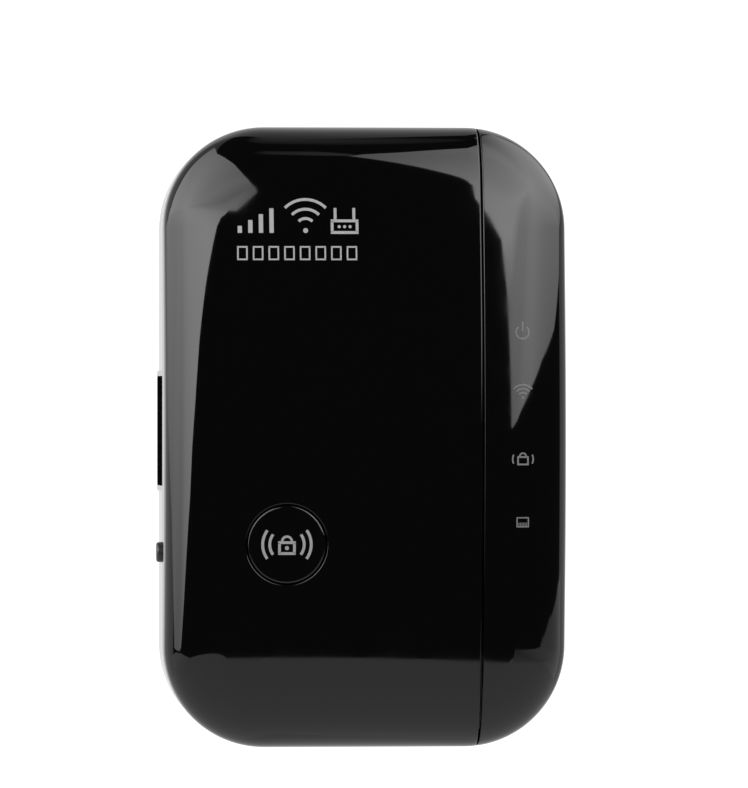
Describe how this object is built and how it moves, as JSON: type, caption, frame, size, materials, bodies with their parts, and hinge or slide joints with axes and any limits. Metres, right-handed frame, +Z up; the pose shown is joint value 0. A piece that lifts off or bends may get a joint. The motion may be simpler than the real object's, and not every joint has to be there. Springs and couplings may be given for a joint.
{
  "type": "wifi range extender",
  "caption": "Plug-in wireless range extender: glossy crowned two-piece front with push button and indicator strip, round mains pins at the back, network port and reset button on one side.",
  "frame": {"origin": "centre of the plug face, where the two mains pins leave the body", "axes": "+Z up as plugged in; +X to the right of someone facing the front; +Y out of the plug face towards the wall socket, so the front faces -Y"},
  "size_m": [0.0526, 0.064, 0.08],
  "materials": {
    "gloss_black": "high gloss black, moulded",
    "button_black": "high gloss black, moulded",
    "housing_black": "black, semi-gloss sides",
    "label": "plain silver-grey film",
    "white_plastic": "natural insulating plastic",
    "sleeve_black": "black pin insulation",
    "nickel": "nickel-plated brass",
    "screw_steel": "zinc-plated steel",
    "inner_black": "black moulded",
    "tin_plate": "tin-plated sheet",
    "plunger_grey": "light grey plunger",
    "board_green": "green solder mask on glass laminate",
    "board_tan": "paper laminate",
    "chip_black": "moulded epoxy",
    "led_white": "light-emitting package",
    "clear_guide": "clear polycarbonate",
    "jack_black": "black jack body",
    "gold": "gold-plated contacts",
    "capacitor_sleeve": "dark shrink sleeve",
    "choke_ferrite": "wound drum choke under black sleeve",
    "resistor_blue": "lacquered fusible resistor",
    "disc_blue": "epoxy-dipped disc",
    "ferrite": "sintered ferrite",
    "winding_tape": "yellow polyester tape",
    "sheet_film": "thin insulating film",
    "wire_brown": "brown insulation",
    "wire_blue": "blue insulation"
  },
  "bodies": {
    "housing": {"antenna_left": "tin_plate", "antenna_right": "tin_plate", "board_link_header": "inner_black", "board_link_pins": "gold", "board_screws": "screw_steel", "bridge_rectifier": "chip_black", "bulk_capacitor_lower": "capacitor_sleeve", "bulk_capacitor_upper": "capacitor_sleeve", "chip_leads": "tin_plate", "controller_chip": "chip_black", "crystal": "tin_plate", "ethernet_jack": "jack_black", "ethernet_transformer": "chip_black", "flash_chip": "chip_black", "front_cover": "gloss_black", "fuse_resistor": "resistor_blue", "housing_screws": "screw_steel", "indicator_cover": "gloss_black", "input_choke": "choke_ferrite", "insulation_sheet": "sheet_film", "jack_contacts": "gold", "led_ethernet": "led_white", "led_pairing": "led_white", "led_power": "led_white", "led_wireless": "led_white", "light_baffle": "inner_black", "light_guide": "clear_guide", "live_wire": "wire_brown", "main_board": "board_green", "memory_chip": "chip_black", "neutral_wire": "wire_blue", "output_capacitor": "capacitor_sleeve", "output_diode": "chip_black", "pin_retainer": "white_plastic", "pin_sleeve_left": "sleeve_black", "pin_sleeve_right": "sleeve_black", "plug_pin_left": "nickel", "plug_pin_right": "nickel", "power_board": "board_tan", "radio_shield": "tin_plate", "rating_label": "label", "rear_housing": "housing_black", "reset_switch_base": "inner_black", "retainer_screws": "screw_steel", "router_chip": "chip_black", "safety_capacitor": "disc_blue", "switch_base": "inner_black", "switch_cover": "tin_plate", "transformer_bobbin": "inner_black", "transformer_core": "ferrite", "transformer_winding": "winding_tape"},
    "push_button": {"push_button": "button_black"},
    "switch_plunger": {"switch_plunger": "inner_black"},
    "reset_plunger": {"reset_plunger": "plunger_grey"}
  },
  "joints": [
    {"name": "button_press", "type": "slide", "parent": "housing", "child": "push_button", "axis": [0, 1, 0], "range_m": [0, 0.0003], "stiffness_N_per_m": 400},
    {"name": "switch_press", "type": "slide", "parent": "housing", "child": "switch_plunger", "axis": [0, 1, 0], "range_m": [0, 0.0003]},
    {"name": "reset_press", "type": "slide", "parent": "housing", "child": "reset_plunger", "axis": [1, 0, 0], "range_m": [0, 0.00025], "stiffness_N_per_m": 200}
  ],
  "couplings": [
    {"joint": "switch_press", "follows": "button_press", "ratio": 1}
  ]
}
